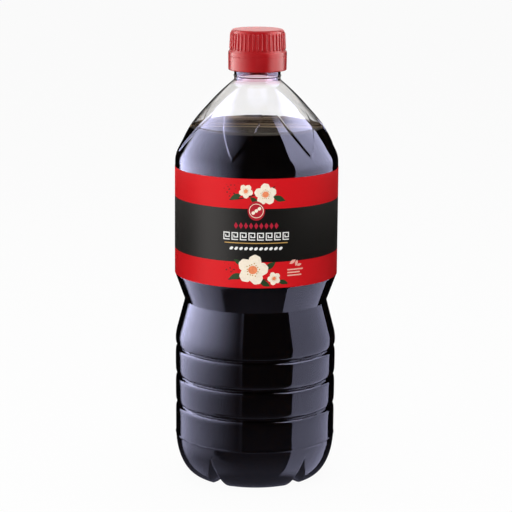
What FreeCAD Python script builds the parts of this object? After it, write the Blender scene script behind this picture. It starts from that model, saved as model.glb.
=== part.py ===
import FreeCAD, Part
import math
import os
import Sketcher
from FreeCAD import Rotation, Vector

# One-litre clear plastic bottle of soy sauce with a screw cap and a wrap-round label.
# Millimetres. The axis is Z, the bottle stands on Z = 0 and its shown face looks along -Y.

# Driving dimensions: (name, value, what it measures)
SIZES = [
    ("panel_diameter", 85.6, "outside of the straight panel under the label"),
    ("grip_diameter", 84.6, "outside of the ringed lower body"),
    ("waist_diameter", 75.2, "outside at the bottom of the waist crease"),
    ("neck_diameter", 24.2, "outside of the bare neck"),
    ("foot_diameter", 60.0, "circle that the bottle stands on"),
    ("wall", 0.5, "blown wall"),
    ("neck_wall", 1.4, "moulded wall of the neck"),
    ("heel_rise", 24.0, "floor to the top of the rounded heel"),
    ("grip_rise", 50.0, "straight ringed body above the heel"),
    ("flare_rise", 21.5, "ringed body to the waist crease"),
    ("collar_rise", 14.5, "waist crease to the panel"),
    ("panel_rise", 60.5, "straight panel"),
    ("shoulder_rise", 40.0, "domed shoulder"),
    ("neck_rise", 26.4, "shoulder to the mouth"),
    ("toe_inset", 4.3, "grip radius less the heel's radius at the toe"),
    ("toe_rise", 7.6, "height of the toe"),
    ("toe_round", 13.0, "round from the foot to the toe"),
    ("heel_round", 33.0, "round from the toe to the grip"),
    ("push_up", 9.0, "height of the domed underside at the axis"),
    ("foot_width", 3.0, "flat ring of the foot"),
    ("flare_round", 23.0, "round at the top of the grip"),
    ("flare_turn", 6.0, "height of that round"),
    ("flare_inset", 0.8, "how far that round draws in"),
    ("shoulder_round", 14.0, "round at the top of the panel"),
    ("shoulder_turn", 6.0, "height of that round"),
    ("shoulder_inset", 1.35, "how far that round draws in"),
    ("dome_round", 92.0, "long round of the shoulder"),
    ("neck_round", 3.0, "hollow round at the root of the neck"),
    ("root_reach", 2.3, "neck to the foot of that round"),
    ("root_drop", 1.2, "shoulder's top down to the foot of that round"),
    ("root_rise", 1.0, "shoulder's top up to the head of that round"),
    ("ring_count", 3, "grip rings pressed into the lower body"),
    ("ring_pitch", 15.6, "from one ring to the next"),
    ("ring_start", 15.3, "heel's top to the lowest ring"),
    ("ring_round", 2.6, "radius of the rings' hollow"),
    ("ring_depth", 1.3, "depth of the rings"),
    ("notch_count", 5, "radial notches in the foot"),
    ("notch_rise", 15.0, "top of a notch on the heel"),
    ("notch_root", 8.0, "top of a notch near the axis"),
    ("notch_angle", 28.0, "full angle of a notch"),
    ("crease_count", 6, "V-shaped creases round the shoulder"),
    ("crease_turn", -17.5, "turn of the first V from the front"),
    ("crease_width", 4.0, "side of the square rod that presses a crease"),
    ("crease_low", 0.2, "share of the shoulder's rise below the V"),
    ("left_top", 0.7, "share of the shoulder's rise at the left arm's end"),
    ("left_sweep", 21.0, "turn of the left arm"),
    ("right_top", 0.78, "share of the shoulder's rise at the right arm's end"),
    ("right_sweep", 29.0, "turn of the right arm"),
    ("fill_rise", 17.9, "panel's top to the surface of the sauce"),
    ("bead_height", 1.0, "how far the locking bead stands out of the neck"),
    ("bead_rise", 3.4, "bottom of the cap to the locking bead"),
    ("bead_face", 0.7, "upright face of the bead"),
    ("bead_length", 2.2, "whole bead, with its ramp"),
    ("cap_wall", 1.85, "wall of the cap's smooth skirt"),
    ("cap_rise", 21.5, "whole cap"),
    ("cap_top", 1.8, "thickness of the cap's top"),
    ("cap_round", 1.6, "round at the rim of the cap's top"),
    ("cap_crown", 0.3, "rise of the cap's top to its middle"),
    ("cap_lip", 0.4, "round at the foot of the skirt"),
    ("cap_clearance", 0.3, "cap to the locking bead and neck"),
    ("skirt_rise", 10.0, "smooth skirt of the cap"),
    ("skirt_step", 0.35, "skirt's radius less the fluted wall's"),
    ("cap_draft", 0.55, "how far the fluted wall leans in"),
    ("flute_count", 40, "flutes round the cap"),
    ("flute_depth", 0.5, "depth of a flute"),
    ("flute_width", 1.25, "width of a flute"),
    ("flute_ramp", 1.0, "height of the slope at each end of a flute"),
    ("flute_margin", 0.3, "plain wall past a flute's end"),
    ("tear_rise", 7.4, "bottom of the cap to the tear line"),
    ("tear_gap", 0.3, "height of the tear line's slits"),
    ("tear_count", 12, "bridges across the tear line"),
    ("bridge_angle", 7.0, "turn that a bridge takes up"),
    ("label_rise", 56.6, "height of the label"),
    ("label_offset", 0.2, "bottom of the panel to the label"),
    ("label_thickness", 0.2, "label film"),
    ("lap_angle", 12.0, "turn of the label's glued lap, at the back"),
]


class Size:
    """A number together with the spreadsheet formula that gives it."""

    def __init__(self, value, formula):
        self.value = value
        self.formula = formula

    def joined(self, sign, other, result):
        text = other.formula if isinstance(other, Size) else repr(other)
        return Size(result, "(%s %s %s)" % (self.formula, sign, text))

    def __add__(self, other):
        return self.joined("+", other, self.value + plain(other))

    def __sub__(self, other):
        return self.joined("-", other, self.value - plain(other))

    def __mul__(self, other):
        return self.joined("*", other, self.value * plain(other))

    def __truediv__(self, other):
        return self.joined("/", other, self.value / plain(other))


def plain(size):
    return size.value if isinstance(size, Size) else size


ZERO = Size(0.0, "0")

doc = FreeCAD.newDocument("SoySauceBottle")
sheet = doc.addObject("Spreadsheet::Sheet", "Sizes")
for row, (alias, value, note) in enumerate(SIZES, start=1):
    sheet.set("A%d" % row, alias)
    sheet.set("B%d" % row, str(value))
    sheet.set("C%d" % row, note)
    sheet.setAlias("B%d" % row, alias)
doc.recompute()
size = {alias: Size(float(value), "Sizes." + alias) for alias, value, note in SIZES}


# ---------------------------------------------------------------- helpers

def bind(feature, prop, amount):
    """Tie a property to its formula in the spreadsheet."""
    feature.setExpression(prop, amount.formula)


def new_body(name):
    return doc.addObject("PartDesign::Body", name)


def new_sketch(body, name, role):
    """An empty sketch on one of the body's own origin planes."""
    sketch = body.newObject("Sketcher::SketchObject", name)
    plane = [item for item in body.Origin.OriginFeatures if item.Role == role][0]
    sketch.AttachmentSupport = [(plane, "")]
    sketch.MapMode = "FlatFace"
    return sketch


def constrain(sketch, kind, *places, amount=None):
    """Add one constraint, tied to the spreadsheet where it has an amount."""
    if amount is None:
        sketch.addConstraint(Sketcher.Constraint(kind, *places))
        return
    index = sketch.addConstraint(Sketcher.Constraint(kind, *places, plain(amount)))
    sketch.setExpression("Constraints[%d]" % index, amount.formula)


def arc_between(start, end, radius):
    """The short arc between two points, centre to the left for a radius above zero."""
    chord = end - start
    middle = (start + end) * 0.5
    left = Vector(-chord.y, chord.x, 0).normalize()
    reach = math.sqrt(radius * radius - chord.Length * chord.Length / 4.0)
    centre = middle + left * math.copysign(reach, radius)
    first, last = (start, end) if radius > 0 else (end, start)
    turn = [math.atan2(p.y - centre.y, p.x - centre.x) for p in (first, last)]
    circle = Part.Circle(centre, Vector(0, 0, 1), abs(radius))
    return Part.ArcOfCircle(circle, turn[0], turn[1])


def draw_outline(sketch, outline):
    """Draw a closed outline of (across, up, radius) points.

    The radius rounds the run that leaves the point: None is a straight run,
    and a (side, size) pair is an arc whose centre lies to that side of the run.
    """
    count = len(outline)
    ends = []
    for index, (across, up, rounding) in enumerate(outline):
        start = Vector(plain(across), plain(up), 0)
        follow = outline[(index + 1) % count]
        end = Vector(plain(follow[0]), plain(follow[1]), 0)
        if rounding is None:
            geometry = sketch.addGeometry(Part.LineSegment(start, end))
            ends.append((geometry, 1, 2))
            continue
        side, radius = rounding
        geometry = sketch.addGeometry(arc_between(start, end, side * plain(radius)))
        ends.append((geometry, 1, 2) if side > 0 else (geometry, 2, 1))
    for index in range(count):
        geometry, first, last = ends[index]
        after, after_first, after_last = ends[(index + 1) % count]
        constrain(sketch, "Coincident", geometry, last, after, after_first)
    for (geometry, first, last), (across, up, rounding) in zip(ends, outline):
        if across is ZERO:
            constrain(sketch, "PointOnObject", geometry, first, -2)
        else:
            constrain(sketch, "DistanceX", -1, 1, geometry, first, amount=across)
        if up is ZERO:
            constrain(sketch, "PointOnObject", geometry, first, -1)
        else:
            constrain(sketch, "DistanceY", -1, 1, geometry, first, amount=up)
        if rounding is not None:
            constrain(sketch, "Radius", geometry, amount=rounding[1])


def turned(body, name, outline, kind="PartDesign::Revolution", angle=None):
    """Turn an outline on the XZ plane about the Z axis."""
    sketch = new_sketch(body, name + "Outline", "XZ_Plane")
    draw_outline(sketch, outline)
    feature = body.newObject(kind, name)
    feature.Profile = sketch
    feature.ReferenceAxis = (sketch, ["V_Axis"])
    feature.Angle = 360
    if angle is not None:
        bind(feature, "Angle", angle)
    return feature


def round_pattern(body, name, feature, count):
    """Repeat a feature evenly about the Z axis."""
    pattern = body.newObject("PartDesign::PolarPattern", name)
    pattern.Originals = [feature]
    axis = [item for item in body.Origin.OriginFeatures if item.Role == "Z_Axis"][0]
    pattern.Axis = (axis, [""])
    pattern.Angle = 360
    bind(pattern, "Occurrences", count)
    body.Tip = pattern
    return pattern


def boolean(kind, name, base, tool):
    result = doc.addObject(kind, name)
    result.Base = base
    result.Tool = tool
    return result


# ---------------------------------------------------------------- heights up the bottle

heel_top = size["heel_rise"]
grip_top = heel_top + size["grip_rise"]
waist_height = grip_top + size["flare_rise"]
panel_foot = waist_height + size["collar_rise"]
panel_top = panel_foot + size["panel_rise"]
shoulder_top = panel_top + size["shoulder_rise"]
mouth_height = shoulder_top + size["neck_rise"]
cap_foot = mouth_height + size["cap_top"] - size["cap_rise"]

panel_radius = size["panel_diameter"] / 2
grip_radius = size["grip_diameter"] / 2
waist_radius = size["waist_diameter"] / 2
neck_radius = size["neck_diameter"] / 2
foot_radius = size["foot_diameter"] / 2
bore_radius = neck_radius - size["neck_wall"]
bead_radius = neck_radius + size["bead_height"]


# ---------------------------------------------------------------- the blown form

def shoulder_points():
    """Radius and height where the shoulder's long round starts and ends."""
    start = (panel_radius - size["shoulder_inset"], panel_top + size["shoulder_turn"])
    end = (neck_radius + size["root_reach"], shoulder_top - size["root_drop"])
    return start, end


def form_outline(inset, neck, mouth):
    """Half outline of the bottle's skin, drawn in by the inset for its hollow."""
    dome_start, dome_end = shoulder_points()
    inner_foot = foot_radius - size["foot_width"] - inset
    dome_square = inner_foot * inner_foot + size["push_up"] * size["push_up"]
    under_round = dome_square / (size["push_up"] * 2)
    return [
        (ZERO, size["push_up"] + inset, (-1, under_round)),
        (inner_foot, inset, None),
        (foot_radius, inset, (1, size["toe_round"])),
        (grip_radius - size["toe_inset"] - inset, size["toe_rise"], (1, size["heel_round"])),
        (grip_radius - inset, heel_top, None),
        (grip_radius - inset, grip_top, (1, size["flare_round"])),
        (grip_radius - inset - size["flare_inset"], grip_top + size["flare_turn"], None),
        (waist_radius - inset, waist_height, None),
        (panel_radius - inset, panel_foot, None),
        (panel_radius - inset, panel_top, (1, size["shoulder_round"])),
        (dome_start[0] - inset, dome_start[1], (1, size["dome_round"])),
        (dome_end[0] - inset, dome_end[1] - inset, (-1, size["neck_round"])),
        (neck, shoulder_top + size["root_rise"], None),
        (neck, mouth, None),
        (ZERO, mouth, None),
    ]


def add_rings(body, inset):
    """Press the grip rings into the lower body."""
    sketch = new_sketch(body, "RingSection", "XZ_Plane")
    lowest = heel_top + size["ring_start"]
    centre = Vector(plain(grip_radius), plain(lowest), 0)
    radius = size["ring_round"] + inset
    circle = sketch.addGeometry(Part.Circle(centre, Vector(0, 0, 1), plain(radius)))
    across = grip_radius + size["ring_round"] - size["ring_depth"]
    constrain(sketch, "DistanceX", -1, 1, circle, 3, amount=across)
    constrain(sketch, "DistanceY", -1, 1, circle, 3, amount=lowest)
    constrain(sketch, "Radius", circle, amount=radius)
    ring = body.newObject("PartDesign::Groove", "Ring")
    ring.Profile = sketch
    ring.ReferenceAxis = (sketch, ["V_Axis"])
    ring.Angle = 360
    rings = body.newObject("PartDesign::LinearPattern", "Rings")
    rings.Originals = [ring]
    axis = [item for item in body.Origin.OriginFeatures if item.Role == "Z_Axis"][0]
    rings.Direction = (axis, [""])
    bind(rings, "Length", size["ring_pitch"] * (size["ring_count"] - 1))
    bind(rings, "Occurrences", size["ring_count"])
    body.Tip = rings


def blown_form(name, inset, neck, mouth):
    """The whole skin as one turned body with its rings."""
    body = new_body(name)
    turned(body, name + "Form", form_outline(inset, neck, mouth))
    add_rings(body, inset)
    return body


def dome_point(share, turn, inset):
    """Point on the shoulder's long round at a share of the shoulder's rise."""
    (start_x, start_z), (end_x, end_z) = shoulder_points()
    start = Vector(plain(start_x - inset), plain(start_z), 0)
    end = Vector(plain(end_x - inset), plain(end_z - inset), 0)
    centre = arc_between(start, end, plain(size["dome_round"])).Center
    height = plain(panel_top) + share * plain(size["shoulder_rise"])
    radius = centre.x + math.sqrt(plain(size["dome_round"]) ** 2 - (height - centre.y) ** 2)
    angle = math.radians(turn - 90)
    return Vector(radius * math.cos(angle), radius * math.sin(angle), height)


def crease_arm(top_share, sweep, inset):
    """Every arm on one side of the V creases: square rods laid edge-on along chords."""
    rods = []
    width = plain(size["crease_width"]) / math.sqrt(2.0)
    for index in range(int(plain(size["crease_count"]))):
        turn = plain(size["crease_turn"]) + index * 360.0 / plain(size["crease_count"])
        low = dome_point(plain(size["crease_low"]), turn, inset)
        high = dome_point(top_share, turn + sweep, inset)
        middle = (low + high) * 0.5
        outward = Vector(middle.x, middle.y, middle.z - plain(panel_top)).normalize()
        along = (high - low).normalize()
        side = along.cross(outward).normalize()
        outward = side.cross(along)
        edges = [low + (outward + side) * width, low + (outward - side) * width]
        rods.append(Part.Face(Part.makePolygon([low] + edges + [low])).extrude(high - low))
    return Part.makeCompound(rods)


def foot_notches(inset):
    """Radial notches through the foot: tents whose ridge climbs towards the heel."""
    tents = []
    reach = plain(panel_radius + size["wall"])
    half = math.tan(math.radians(plain(size["notch_angle"]) / 2))
    lift = plain(inset) / math.sin(math.radians(plain(size["notch_angle"]) / 2))
    root = Vector(0, 0, plain(size["notch_root"]) + lift)
    rise = (plain(size["notch_rise"]) - plain(size["notch_root"])) / plain(grip_radius)
    drop = 2 * plain(size["notch_rise"])
    skirts = [root + Vector(0, side * drop * half, -drop) for side in (1, -1)]
    for index in range(int(plain(size["notch_count"]))):
        tent = Part.Face(Part.makePolygon([root] + skirts + [root])).extrude(Vector(reach, 0, reach * rise))
        turn = -90 + (index + 0.5) * 360.0 / plain(size["notch_count"])
        tent.rotate(Vector(0, 0, 0), Vector(0, 0, 1), turn)
        tents.append(tent)
    return tents


def cutter(name, shape):
    feature = doc.addObject("Part::Feature", name)
    feature.Shape = shape
    return feature


def creased(name, body, inset):
    """Cut the shoulder creases and the foot notches into a blown form."""
    arms = [
        ("Left", crease_arm(plain(size["left_top"]), -plain(size["left_sweep"]), inset)),
        ("Right", crease_arm(plain(size["right_top"]), plain(size["right_sweep"]), inset)),
    ]
    result = body
    for side, shape in arms:
        arm = cutter(name + side + "Creases", shape)
        result = boolean("Part::Cut", name + side + "Cut", result, arm)
    tents = foot_notches(inset)
    fused = tents[0].multiFuse(tents[1:])
    return boolean("Part::Cut", name + "Notched", result, cutter(name + "Notches", fused))


outer_form = blown_form("OuterForm", ZERO, neck_radius, mouth_height)
inner_form = blown_form("InnerForm", size["wall"], bore_radius, mouth_height + size["wall"])
outer = creased("Outer", outer_form, ZERO)
inner = creased("Inner", inner_form, size["wall"])

# ---------------------------------------------------------------- bottle and sauce

bead = new_body("LockingBead")
bead_low = cap_foot + size["bead_rise"]
bead_root = neck_radius - size["neck_wall"] / 2
turned(bead, "BeadRing", [
    (bead_root, bead_low, None),
    (bead_radius, bead_low, None),
    (bead_radius, bead_low + size["bead_face"], None),
    (neck_radius, bead_low + size["bead_length"], None),
    (bead_root, bead_low + size["bead_length"], None),
])
skin = boolean("Part::Cut", "Skin", outer, inner)
bottle = boolean("Part::Fuse", "Bottle", skin, bead)

fill = doc.addObject("Part::Cylinder", "FillBlock")
bind(fill, "Radius", panel_radius + grip_radius)
bind(fill, "Height", panel_top + size["fill_rise"])
sauce = boolean("Part::Common", "Sauce", inner, fill)

# ---------------------------------------------------------------- cap

cap_bore = bead_radius + size["cap_clearance"]
skirt_radius = cap_bore + size["cap_wall"]
wall_radius = skirt_radius - size["skirt_step"]
crown_radius = wall_radius - size["cap_draft"]
skirt_top = cap_foot + size["skirt_rise"]
cap_height = cap_foot + size["cap_rise"]
rim_height = cap_height - size["cap_crown"]

cap = new_body("Cap")
turned(cap, "CapForm", [
    (cap_bore, cap_foot, None),
    (skirt_radius - size["cap_lip"], cap_foot, (1, size["cap_lip"])),
    (skirt_radius, cap_foot + size["cap_lip"], None),
    (skirt_radius, skirt_top, None),
    (wall_radius, skirt_top + size["skirt_step"], None),
    (crown_radius, rim_height - size["cap_round"], (1, size["cap_round"])),
    (crown_radius - size["cap_round"], rim_height, None),
    (ZERO, cap_height, None),
    (ZERO, mouth_height, None),
    (cap_bore, mouth_height, None),
])

flute_foot = skirt_top + size["skirt_step"] + size["flute_margin"]
flute_head = rim_height - size["cap_round"] - size["flute_margin"]
flute_clear = wall_radius + size["flute_depth"]
flute_sketch = new_sketch(cap, "FluteOutline", "XZ_Plane")
draw_outline(flute_sketch, [
    (wall_radius, flute_foot, None),
    (flute_clear, flute_foot, None),
    (flute_clear, flute_head, None),
    (crown_radius, flute_head, None),
    (crown_radius - size["flute_depth"], flute_head - size["flute_ramp"], None),
    (wall_radius - size["flute_depth"], flute_foot + size["flute_ramp"], None),
])
flute = cap.newObject("PartDesign::Pocket", "Flute")
flute.Profile = flute_sketch
flute.Midplane = True
bind(flute, "Length", size["flute_width"])
round_pattern(cap, "Flutes", flute, size["flute_count"])

tear_low = cap_foot + size["tear_rise"]
slit_angle = Size(360.0, "360") / size["tear_count"] - size["bridge_angle"]
slit_clear = skirt_radius + size["tear_gap"]
slit = turned(cap, "TearSlit", [
    (neck_radius, tear_low, None),
    (slit_clear, tear_low, None),
    (slit_clear, tear_low + size["tear_gap"], None),
    (neck_radius, tear_low + size["tear_gap"], None),
], kind="PartDesign::Groove", angle=slit_angle)
round_pattern(cap, "TearLine", slit, size["tear_count"])

# ---------------------------------------------------------------- label

label = new_body("Label")
label_low = panel_foot + size["label_offset"]
label_radius = panel_radius + size["label_thickness"]
turned(label, "LabelFilm", [
    (panel_radius, label_low, None),
    (label_radius, label_low, None),
    (label_radius, label_low + size["label_rise"], None),
    (panel_radius, label_low + size["label_rise"], None),
])
lap_root = panel_radius + size["label_thickness"] / 2
lap_radius = label_radius + size["label_thickness"]
lap_sketch = new_sketch(label, "LapOutline", "YZ_Plane")
draw_outline(lap_sketch, [
    (lap_root, label_low, None),
    (lap_radius, label_low, None),
    (lap_radius, label_low + size["label_rise"], None),
    (lap_root, label_low + size["label_rise"], None),
])
lap = label.newObject("PartDesign::Revolution", "Lap")
lap.Profile = lap_sketch
lap.ReferenceAxis = (lap_sketch, ["V_Axis"])
lap.Midplane = True
bind(lap, "Angle", size["lap_angle"])
label.Tip = lap

# ---------------------------------------------------------------- check and write

NODES = {"bottle": bottle, "sauce": sauce, "cap": cap, "label": label}
doc.recompute()
for item in doc.Objects:
    if "Invalid" in item.State or "Error" in item.State:
        raise RuntimeError("%s did not compute: %s" % (item.Name, item.State))
for node, item in NODES.items():
    item.Label = node
    if item.Shape.isNull() or not item.Shape.isValid():
        raise RuntimeError("%s has no valid shape" % node)
    if len(item.Shape.Solids) != 1:
        raise RuntimeError("%s is %d solids" % (node, len(item.Shape.Solids)))

os.makedirs("parts", exist_ok=True)
for node, item in NODES.items():
    item.Shape.exportStep("parts/%s.step" % node)
    print("%s: %.1f cm3" % (node, item.Shape.Volume / 1000.0))
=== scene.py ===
"""Looks of a one-litre bottle of soy sauce: clear shell, sauce, screw cap, printed film label."""
import math

import bpy
from bpy.props import FloatProperty, FloatVectorProperty, IntProperty, PointerProperty
from mathutils import Euler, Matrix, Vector


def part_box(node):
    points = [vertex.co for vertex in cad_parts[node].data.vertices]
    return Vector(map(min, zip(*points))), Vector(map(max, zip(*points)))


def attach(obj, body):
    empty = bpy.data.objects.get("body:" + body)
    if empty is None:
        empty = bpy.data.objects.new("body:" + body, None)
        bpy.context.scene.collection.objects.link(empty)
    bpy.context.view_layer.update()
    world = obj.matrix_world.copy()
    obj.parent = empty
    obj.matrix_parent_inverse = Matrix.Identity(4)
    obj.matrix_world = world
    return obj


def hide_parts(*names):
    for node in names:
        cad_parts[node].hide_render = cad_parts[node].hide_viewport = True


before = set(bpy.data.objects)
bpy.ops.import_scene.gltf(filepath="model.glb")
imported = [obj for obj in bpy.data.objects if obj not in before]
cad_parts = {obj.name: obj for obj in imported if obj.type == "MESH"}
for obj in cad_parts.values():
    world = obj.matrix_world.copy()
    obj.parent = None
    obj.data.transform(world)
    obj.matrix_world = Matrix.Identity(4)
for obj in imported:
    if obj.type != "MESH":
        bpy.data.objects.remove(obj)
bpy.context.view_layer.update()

bl_info = {
    "name": "Soy Sauce Bottle",
    "version": (1, 0, 0),
    "blender": (4, 5, 0),
    "location": "3D View > Sidebar > Bottle",
    "description": "Builds the shell, sauce, cap and label of a soy sauce bottle round its frame",
    "category": "Object",
}

MM = 0.001
BODY = "root"
BOTTLE_LOW, BOTTLE_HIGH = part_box("bottle")
SAUCE_LOW, SAUCE_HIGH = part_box("sauce")
CAP_LOW, CAP_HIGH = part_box("cap")
LABEL_LOW, LABEL_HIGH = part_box("label")


def length(name, description, default):
    """A length in metres, given here in millimetres."""
    return FloatProperty(name=name, description=description, default=default * MM,
                         unit="LENGTH", precision=5)


def angle(name, description, default):
    """An angle in radians, given here in degrees."""
    return FloatProperty(name=name, description=description, default=math.radians(default),
                         subtype="ANGLE", unit="ROTATION")


def colour(name, description, default):
    return FloatVectorProperty(name=name, description=description, default=default,
                               size=3, min=0.0, max=1.0, subtype="COLOR")


class BottleSizes(bpy.types.PropertyGroup):
    panel_radius: FloatProperty(
        name="Panel radius", description="Outside of the straight panel under the label",
        default=BOTTLE_HIGH.x, unit="LENGTH", precision=5)
    mouth_height: FloatProperty(
        name="Mouth height", description="Floor to the mouth", default=BOTTLE_HIGH.z,
        unit="LENGTH", precision=5)
    level: FloatProperty(
        name="Level", description="Floor to the surface of the sauce", default=SAUCE_HIGH.z,
        unit="LENGTH", precision=5)
    grip_radius: length("Grip radius", "Outside of the ringed lower body", 42.3)
    flare_radius: length("Flare radius", "Outside at the top of the grip", 42.55)
    waist_radius: length("Waist radius", "Outside at the waist crease", 37.55)
    neck_radius: length("Neck radius", "Outside of the bare neck", 12.1)
    foot_radius: length("Foot radius", "Circle that the bottle stands on", 30.0)
    foot_width: length("Foot width", "Flat ring of the foot", 3.0)
    push_up: length("Push-up", "Height of the domed underside", 9.0)
    wall: length("Wall", "Blown wall", 0.5)
    neck_wall: length("Neck wall", "Moulded wall of the neck", 1.4)
    heel_height: length("Heel height", "Top of the rounded heel", 24.0)
    flare_height: length("Flare height", "Where the grip starts to draw in", 76.5)
    waist_height: length("Waist height", "Waist crease", 95.5)
    panel_foot: length("Panel foot", "Bottom of the panel", 110.0)
    panel_top: length("Panel top", "Top of the panel", 169.2)
    corner_round: length("Corner round", "Round from the panel into the shoulder", 14.0)
    corner_lean: angle("Corner lean", "Lean of the shoulder just above that round", 26.0)
    neck_lean: angle("Neck lean", "Lean of the shoulder at the neck", 49.5)
    ring_low: length("Lowest ring", "Height of the lowest grip ring", 39.3)
    ring_pitch: length("Ring pitch", "From one grip ring to the next", 15.6)
    ring_depth: length("Ring depth", "Depth of a grip ring", 1.7)
    ring_width: length("Ring width", "Half width of a grip ring's hollow", 1.0)
    ring_count: IntProperty(name="Rings", description="Grip rings", default=3, min=0)
    notch_turn: angle("Notch turn", "Turn of the first notch from the front", 38.5)
    notch_count: IntProperty(name="Notches", description="Notches round the foot", default=5, min=1)
    notch_height: length("Notch height", "Top of a foot notch", 16.0)
    notch_depth: length("Notch depth", "Depth of a foot notch under the heel", 5.0)
    notch_width: length("Notch width", "Half width of a foot notch at the floor", 5.2)
    crease_count: IntProperty(name="Creases", description="V creases on the shoulder", default=6, min=1)
    crease_turn: angle("Crease turn", "Turn of the first V from the front", -17.5)
    crease_low: length("Crease foot", "Height of a V's point", 175.2)
    left_top: length("Left arm top", "Height of the left arm's end", 198.0)
    right_top: length("Right arm top", "Height of the right arm's end", 201.5)
    left_sweep: angle("Left sweep", "Turn of the left arm", -21.0)
    right_sweep: angle("Right sweep", "Turn of the right arm", 29.0)
    crease_depth: length("Crease depth", "How far the panel inside a V stands proud", 0.62)
    crease_width: length("Crease width", "Half width of the step along a V", 0.72)
    parting_height: length("Parting line", "Height of the level mould line over the foot", 22.6)
    seam_turn: angle("Seam turn", "Turn of the upright mould line from the front", -8.6)
    seam_height: length("Seam height", "How far a mould line stands proud", 0.13)


class CapSizes(bpy.types.PropertyGroup):
    skirt_height: length("Skirt height", "Height of the smooth skirt", 10.0)
    skirt_step: length("Skirt step", "Skirt's radius less the ribbed wall's root", 1.0)
    draft: length("Draft", "How far the ribbed wall leans in", 0.5)
    rim_round: length("Rim round", "Round at the rim of the top", 1.5)
    wall: length("Wall", "Wall of the skirt", 1.6)
    top: length("Top", "Thickness of the top", 1.8)
    rib_count: IntProperty(name="Ribs", description="Ribs round the cap", default=40, min=3)
    rib_radius: length("Rib radius", "Round of a rib", 0.62)
    tear_height: length("Tear line", "Bottom of the cap to the tear line", 7.4)
    tear_depth: length("Tear depth", "Depth of the tear line between its bridges", 0.2)
    tear_count: IntProperty(name="Bridges", description="Bridges over the tear line", default=12, min=2)


class PrintSizes(bpy.types.PropertyGroup):
    black_low: length("Black band foot", "Label's foot to the black band", 13.6)
    black_high: length("Black band head", "Label's foot to the top of the black band", 41.2)
    film: length("Film", "Thickness of the film with its glue", 0.12)
    lap: angle("Lap", "Turn that the glued lap takes up at the back", 12.0)
    film_gap: length("Film recess", "How far the film lies inside its frame ring", 0.06)
    layer: length("Ink layer", "Step from one printed layer to the next", 0.01)
    red: colour("Red", "Red bands", (0.62, 0.0015, 0.006))
    black: colour("Black", "Black band", (0.006, 0.0055, 0.005))
    crimson: colour("Crimson", "Emblem and lozenges", (0.42, 0.008, 0.02))
    cream: colour("Cream", "Petals", (0.86, 0.76, 0.62))
    salmon: colour("Salmon", "Hearts of the flowers", (0.80, 0.24, 0.10))
    leaf: colour("Leaf", "Leaves", (0.020, 0.050, 0.016))
    bark: colour("Bark", "Twigs and shade", (0.014, 0.010, 0.008))
    gold: colour("Gold", "Rules", (0.55, 0.33, 0.10))
    white: colour("White", "Waves and beans", (0.82, 0.82, 0.80))


class StudioSizes(bpy.types.PropertyGroup):
    view_distance: length("View distance", "Camera to the bottle's axis, along the floor", 1079.3)
    view_height: length("View height", "Camera above the floor", 341.9)
    aim_height: length("Aim height", "Height that the camera looks at", 118.2)
    lens: FloatProperty(name="Lens", description="Focal length", default=146.3, unit="CAMERA")
    roll: angle("Roll", "How far the camera rolls", 0.44)
    screen_radius: length("Screen radius", "Axis to the ring of flags and soft boxes", 150.0)
    screen_height: length("Screen height", "Height of that ring", 520.0)


# ------------------------------------------------------------------ mesh helpers

def new_object(name, vertices, faces, smooth=True):
    """A mesh object at the origin."""
    mesh = bpy.data.meshes.new(name)
    mesh.from_pydata(vertices, [], faces)
    mesh.validate()
    if smooth:
        mesh.shade_smooth()
    made = bpy.data.objects.new(name, mesh)
    bpy.context.collection.objects.link(made)
    return made


def bridge(faces, low, low_count, high, high_count):
    """Faces between two rings whose counts are equal, or one a multiple of the other."""
    if low_count == high_count:
        for i in range(low_count):
            after = (i + 1) % low_count
            faces.append((low + i, low + after, high + after, high + i))
        return
    upwards = high_count > low_count
    few, few_count, many, many_count = (
        (low, low_count, high, high_count) if upwards else (high, high_count, low, low_count))
    times = many_count // few_count
    for i in range(few_count):
        for j in range(i * times, (i + 1) * times):
            here, after = many + j, many + (j + 1) % many_count
            faces.append((few + i, after, here) if upwards else (few + i, here, after))
        if few_count > 1:
            corner, after = many + (i + 1) * times % many_count, few + (i + 1) % few_count
            faces.append((few + i, after, corner) if upwards else (corner, after, few + i))


def shell_mesh(rings, closed=False):
    """Vertices and faces through a run of rings; a ring of one vertex is a pole."""
    starts = [0]
    for ring in rings:
        starts.append(starts[-1] + len(ring))
    faces = []
    for a in range(len(rings) if closed else len(rings) - 1):
        b = (a + 1) % len(rings)
        bridge(faces, starts[a], len(rings[a]), starts[b], len(rings[b]))
    return [point for ring in rings for point in ring], faces


def ring_at(radius, height, count):
    """A level ring; its first point looks along -Y and it turns towards +X."""
    turns = [2 * math.pi * i / count for i in range(count)]
    return [(radius * math.sin(t), -radius * math.cos(t), height) for t in turns]


def rounded_line(corners, step):
    """Points along a (radius, height, round) line whose corners are rounded."""
    points = []
    for index, (across, up, rounding) in enumerate(corners):
        here = Vector((across, up))
        if rounding == 0 or index in (0, len(corners) - 1):
            points.append(here)
            continue
        before = (Vector(corners[index - 1][:2]) - here).normalized()
        after = (Vector(corners[index + 1][:2]) - here).normalized()
        half = before.angle(after) / 2
        reach = rounding / math.tan(half)
        centre = here + (before + after).normalized() * (rounding / math.sin(half))
        start = here + before * reach - centre
        end = here + after * reach - centre
        pieces = max(3, int(math.degrees(math.pi - 2 * half) / 4))
        for k in range(pieces + 1):
            share = k / pieces
            spread = start.lerp(end, share).normalized() * rounding
            points.append(centre + spread)
    dense = [points[0]]
    for point in points[1:]:
        gap = (point - dense[-1]).length
        pieces = max(1, math.ceil(gap / step))
        start = dense[-1].copy()
        for k in range(1, pieces + 1):
            dense.append(start.lerp(point, k / pieces))
    return dense


def smooth_step(value, low, high):
    share = min(1.0, max(0.0, (value - low) / (high - low)))
    return share * share * (3 - 2 * share)


# ------------------------------------------------------------------ the blown outline

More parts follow.
